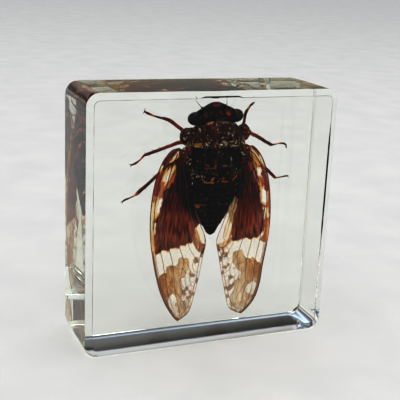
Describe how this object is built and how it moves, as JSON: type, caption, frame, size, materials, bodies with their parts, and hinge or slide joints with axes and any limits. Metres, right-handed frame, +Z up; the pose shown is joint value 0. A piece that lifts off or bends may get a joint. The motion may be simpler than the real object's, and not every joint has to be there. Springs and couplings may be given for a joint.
{
  "type": "insect in resin block",
  "caption": "Square block of clear cast resin with rounded corners and chamfered edges, standing upright, with a dark cicada with mottled wings sealed at mid depth.",
  "frame": {"origin": "middle of the block's bottom face, on the surface that it stands on", "axes": "+Z up through the block's height, +Y through its thickness away from the side that shows the insect's back, +X to the right as seen from that side"},
  "size_m": [0.05, 0.016, 0.05],
  "materials": {
    "clear_resin": "polished, clear and colourless",
    "cicada": "dry insect, near-black body with red-brown and amber wings"
  },
  "bodies": {
    "root": {"resin_front": "clear_resin", "resin_back": "clear_resin", "cicada": "cicada"}
  },
  "joints": []
}
